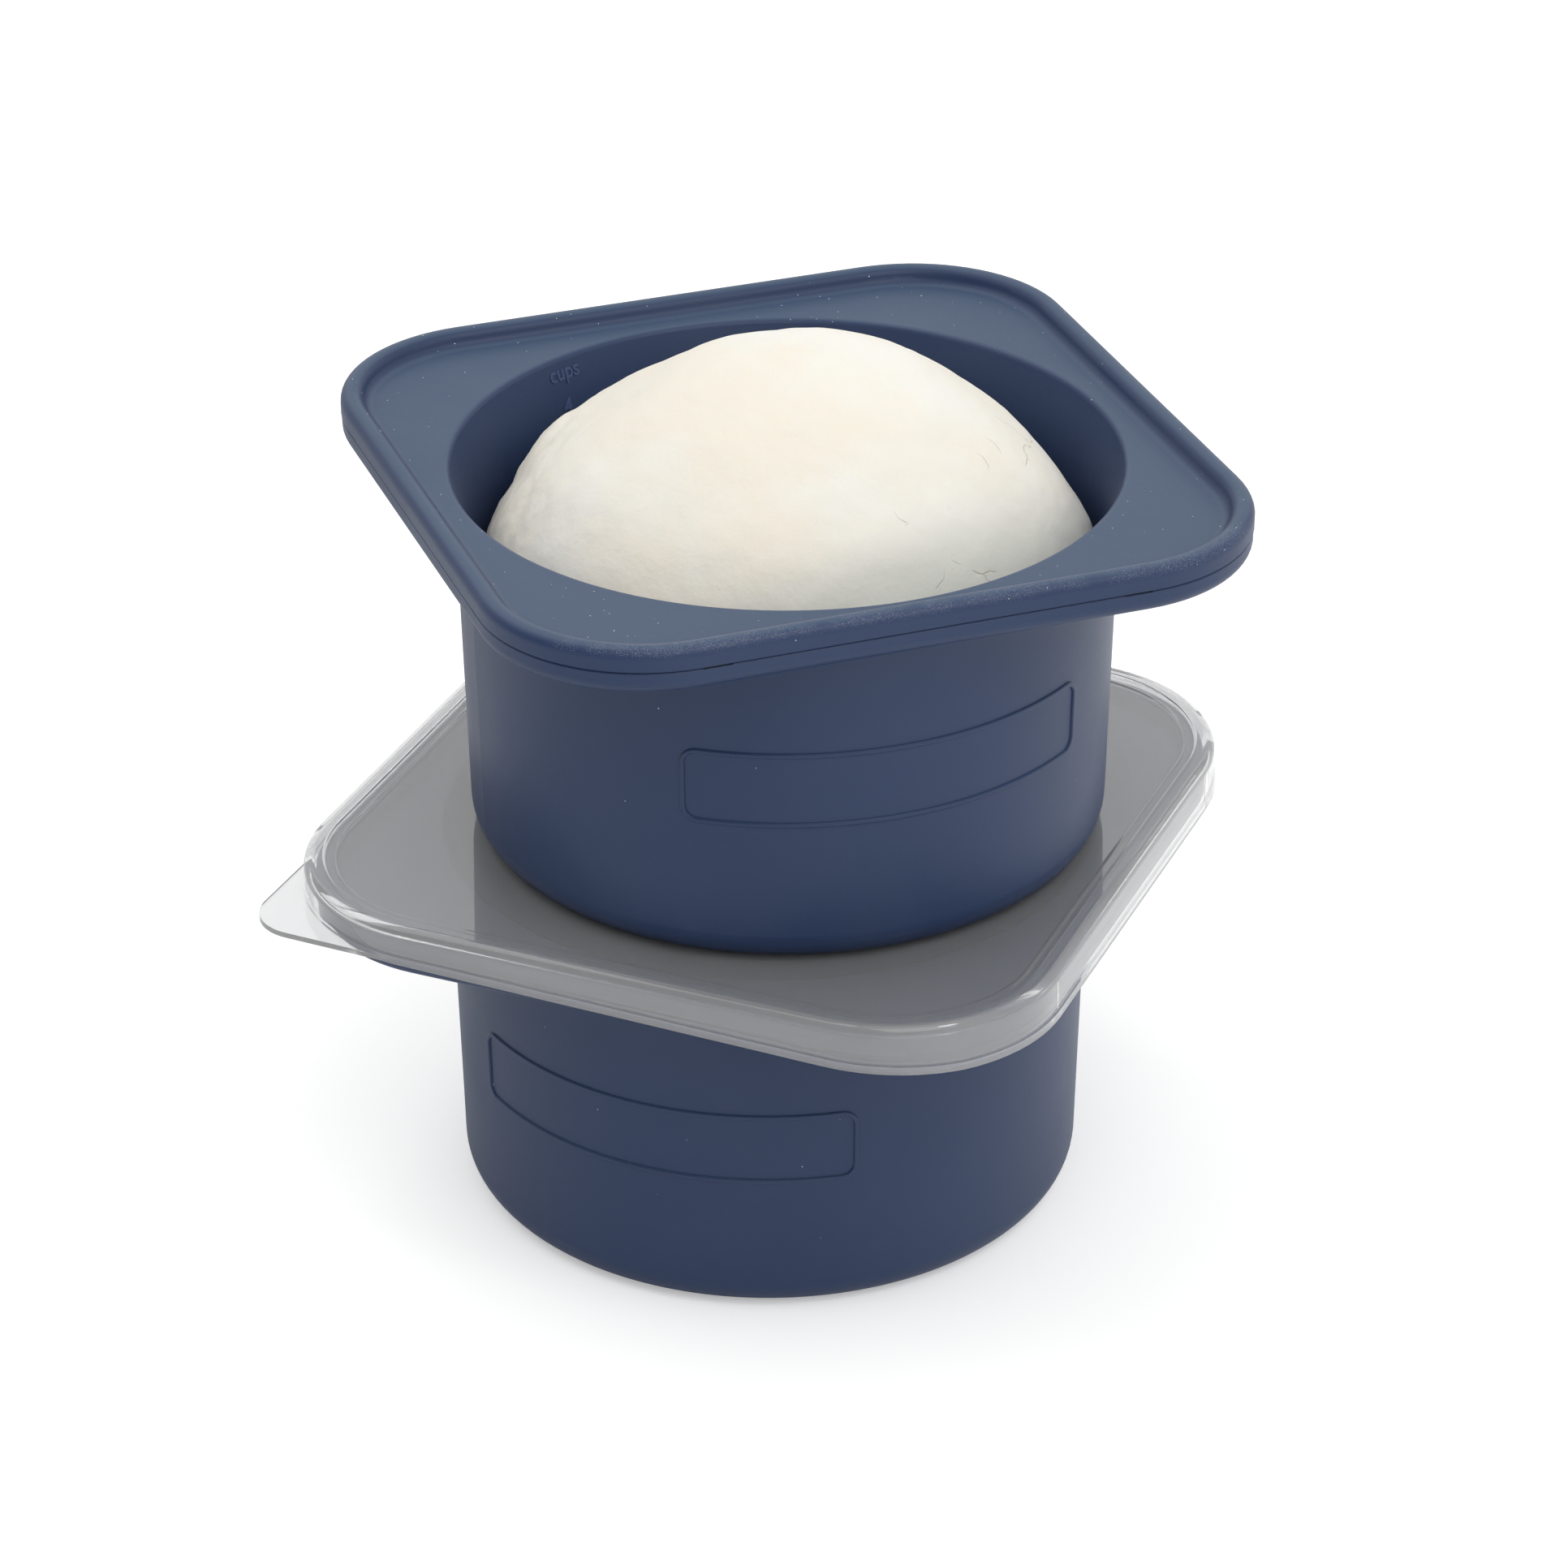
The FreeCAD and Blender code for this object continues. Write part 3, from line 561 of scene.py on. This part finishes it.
def flour_finish():
    finish = Finish("flour", {"Specular IOR Level": 0.2})
    finish.set({
        "Base Color": finish.mix(finish.mottle(SPECK_CLOUDS), FLOUR_WHITE, FLOUR_GREY),
        "Roughness": POWDER_ROUGHNESS[0] + POWDER_ROUGHNESS[1] * finish.mottle(POWDER_CLOUDS),
    })
    return finish.material


def fleck_tree():
    """Scatters flecks on the faces of a mesh that look up, or out from the bowl's axis, above a level."""
    group = bpy.data.node_groups.new("flour_flecks", "GeometryNodeTree")
    inputs = (
        ("Mesh", "NodeSocketGeometry"), ("Axis", "NodeSocketVector"), ("Level", "NodeSocketFloat"),
        ("On top", "NodeSocketFloat"), ("On wall", "NodeSocketFloat"), ("Size", "NodeSocketFloat"),
        ("Seed", "NodeSocketInt"), ("Flour", "NodeSocketMaterial"),
    )
    for name, kind in inputs:
        group.interface.new_socket(name, in_out="INPUT", socket_type=kind)
    group.interface.new_socket("Flecks", in_out="OUTPUT", socket_type="NodeSocketGeometry")
    tree = Tree(group)
    start = group.nodes.new("NodeGroupInput")
    given = {name: Socket(tree, start.outputs[name]) for name, kind in inputs}

    def chance(low, high, seed):
        """A number between low and high, drawn anew for each fleck."""
        sockets = {2: low, 3: high, 8: seed}
        return tree.node("FunctionNodeRandomValue", {"data_type": "FLOAT"}, sockets, output=1)

    normal = tree.node("GeometryNodeInputNormal")
    slope = tree.upward(normal)
    position = tree.node("GeometryNodeInputPosition")
    outward = tree.dot(tree.minus(position, given["Axis"]), normal)
    on_top = (slope > TOP_SLOPE) * (tree.upward(position) > given["Level"])
    on_wall = (slope < TOP_SLOPE) * (slope > WALL_SLOPE) * (outward > WALL_OUT)
    density = on_top * given["On top"] + on_wall * given["On wall"]

    faces = {"Mesh": given["Mesh"], "Density": density, "Seed": given["Seed"]}
    points = tree.node("GeometryNodeDistributePointsOnFaces", {}, faces)
    turns = Socket(tree, points.output.node.outputs["Rotation"])
    fleck = tree.node("GeometryNodeMeshIcoSphere", {}, {"Radius": 1.0, "Subdivisions": 1})
    size = given["Size"] * chance(*FLECK_GROWTH, seed=0)
    length = size * chance(*FLECK_LENGTH, seed=5)
    form = tree.node("ShaderNodeCombineXYZ", {}, {0: length, 1: size, 2: size * FLECK_FLATNESS})
    spin = chance(0.0, math.tau, seed=9)
    lie = tree.node("FunctionNodeAxisAngleToRotation", {}, {"Axis": UP, "Angle": spin})
    turned = tree.node("FunctionNodeRotateRotation", {"rotation_space": "LOCAL"}, {0: turns, 1: lie})
    laid = tree.node("GeometryNodeInstanceOnPoints", {}, {
        "Points": points, "Instance": fleck, "Rotation": turned, "Scale": form,
    })
    real = tree.node("GeometryNodeRealizeInstances", {}, {0: laid})
    floured = tree.node("GeometryNodeSetMaterial", {}, {"Geometry": real, "Material": given["Flour"]})
    end = group.nodes.new("NodeGroupOutput")
    tree.feed(end.inputs["Flecks"], floured)
    return group


def flecks(name, node, body, on_top, on_wall, seed):
    low, high = (Vector(corner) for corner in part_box(node))
    axis = Vector(((low.x + high.x) / 2, (low.y + high.y) / 2, (low.z + high.z) / 2))
    dusted = link(name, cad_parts[node].data.copy())
    group = bpy.data.node_groups["flour_flecks"]
    scatter = dusted.modifiers.new("flecks", "NODES")
    scatter.node_group = group
    settings = {
        "Axis": axis, "Level": low.z + DECK_LEVEL - MOUTH_ROUND, "On top": on_top, "On wall": on_wall,
        "Size": FLECK_SIZE, "Seed": seed, "Flour": flour,
    }
    for item in group.interface.items_tree:
        if item.name in settings:
            scatter[item.identifier] = settings[item.name]
    mesh = finished_mesh(dusted)
    piece = link(name, mesh)
    mesh.name = name
    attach(piece, body)


flour = flour_finish()
fleck_tree()
flecks("flour_on_upper_container", "upper_container", "upper", FLECKS_ON_TOP, FLECKS_ON_WALL, FLECK_SEED)
flecks("flour_on_lower_container", "lower_container", "lower", 0.0, FLECKS_ON_WALL, FLECK_SEED + 1)


# Studio
# A white sweep that glows a little where it is seen, open towards a dimmer room at the front left. Its
# right side also glows in reflections only, a painted reflection on the right of the bowls. A large soft
# light stands on the left, and a smaller one and a window on the right. The camera is where the
# photograph was taken from.

SWEEP_RADIUS = 4.0
SWEEP_SIDES = 96
SWEEP_WHITE = (0.86, 0.86, 0.85, 1)
SWEEP_LIFT = 0.335
# painted reflection: the sweep's right side glows only where it is seen in reflections
REFLECTION_GLOW_SIDE = (0.921, 0.389, 0)
REFLECTION_GLOW_REACH = (-0.05, 0.12)
AMBIENT = 0.92
ROOM_SHADE = 0.40
ROOM_DIMMING = 0.85
ROOM_AZIMUTH = math.radians(-28)
ROOM_SIDE = (math.sin(ROOM_AZIMUTH), -math.cos(ROOM_AZIMUTH), 0)
ROOM_EDGES = (-0.2, 0.9)

floor_form = bmesh.new()
bmesh.ops.create_circle(floor_form, cap_ends=True, segments=SWEEP_SIDES, radius=SWEEP_RADIUS)
floor = link("floor", bpy.data.meshes.new("floor"))
floor_form.to_mesh(floor.data)
floor_form.free()

sweep = Finish("white_sweep", {
    "Base Color": SWEEP_WHITE, "Roughness": 1.0, "Specular IOR Level": 0.0, "Emission Strength": SWEEP_LIFT,
})
# painted reflection, glowing for glossy rays on the right side of the sweep
painted_reflection_glow = sweep.ray("Glossy") * sweep.ramp(sweep.along(REFLECTION_GLOW_SIDE), *REFLECTION_GLOW_REACH)
sweep.set({"Emission Color": sweep.ray("Camera") | sweep.ray("Transmission") | painted_reflection_glow})
floor.data.materials.append(sweep.material)

world = bpy.data.worlds.new("studio")
bpy.context.scene.world = world
world.use_nodes = True
sky = Tree(world.node_tree)
direction = sky.node("ShaderNodeTexCoord", output="Generated")
room = sky.ramp(sky.dot(direction, ROOM_SIDE), *ROOM_EDGES)
clear = sky.ray("Camera") | sky.ray("Glossy") | sky.ray("Transmission")
level = AMBIENT + (1 - AMBIENT) * clear
dimmed = level * (1 - (ROOM_SHADE + (ROOM_DIMMING - ROOM_SHADE) * clear) * room)
strength = dimmed + sky.ray("Camera") * (1 - dimmed)
background = world.node_tree.nodes["Background"]
background.inputs["Color"].default_value = (1, 1, 1, 1)
sky.feed(background.inputs["Strength"], strength)

LAMP_AIM = Vector((0, 0, 0.1))
SOFT_BOXES = (
    # name, place, size, watts
    ("key", (-0.85, -0.2, 1.45), 1.4, 6.4),
    ("fill", (0.65, -0.7, 1.3), 1.0, 4),
    ("window", (0.75, -0.3, 1.2), 0.2, 1.2),
)


def soft_box(name, place, size, watts):
    lamp = bpy.data.lights.new(name, "AREA")
    lamp.shape = "SQUARE"
    lamp.size = size
    lamp.energy = watts
    box = link(name, lamp)
    box.location = place
    box.rotation_euler = (LAMP_AIM - Vector(place)).to_track_quat("-Z", "Y").to_euler()


for lamp_values in SOFT_BOXES:
    soft_box(*lamp_values)

ORBIT_CENTRE = Vector((0, 0, 0.09025))
AIM = Vector((0.0031, 0.0013, 0.09025))
AZIMUTH = math.radians(22.891)
ELEVATION = math.radians(28.954)
DISTANCE = 1.0863
ROLL = math.radians(-0.173)
LENS = 115.97
SENSOR = 36.0

lens = bpy.data.cameras.new("camera")
lens.lens = LENS
lens.sensor_width = SENSOR
camera = link("camera", lens)
level_back = Vector((math.sin(AZIMUTH), -math.cos(AZIMUTH), 0)) * math.cos(ELEVATION)
camera.location = ORBIT_CENTRE + (level_back + Vector((0, 0, math.sin(ELEVATION)))) * DISTANCE
look = (AIM - camera.location).to_track_quat("-Z", "Y").to_matrix().to_4x4()
camera.rotation_euler = (look @ Matrix.Rotation(ROLL, 4, "Z")).to_euler()
bpy.context.scene.camera = camera
bpy.context.scene.view_settings.view_transform = "Standard"
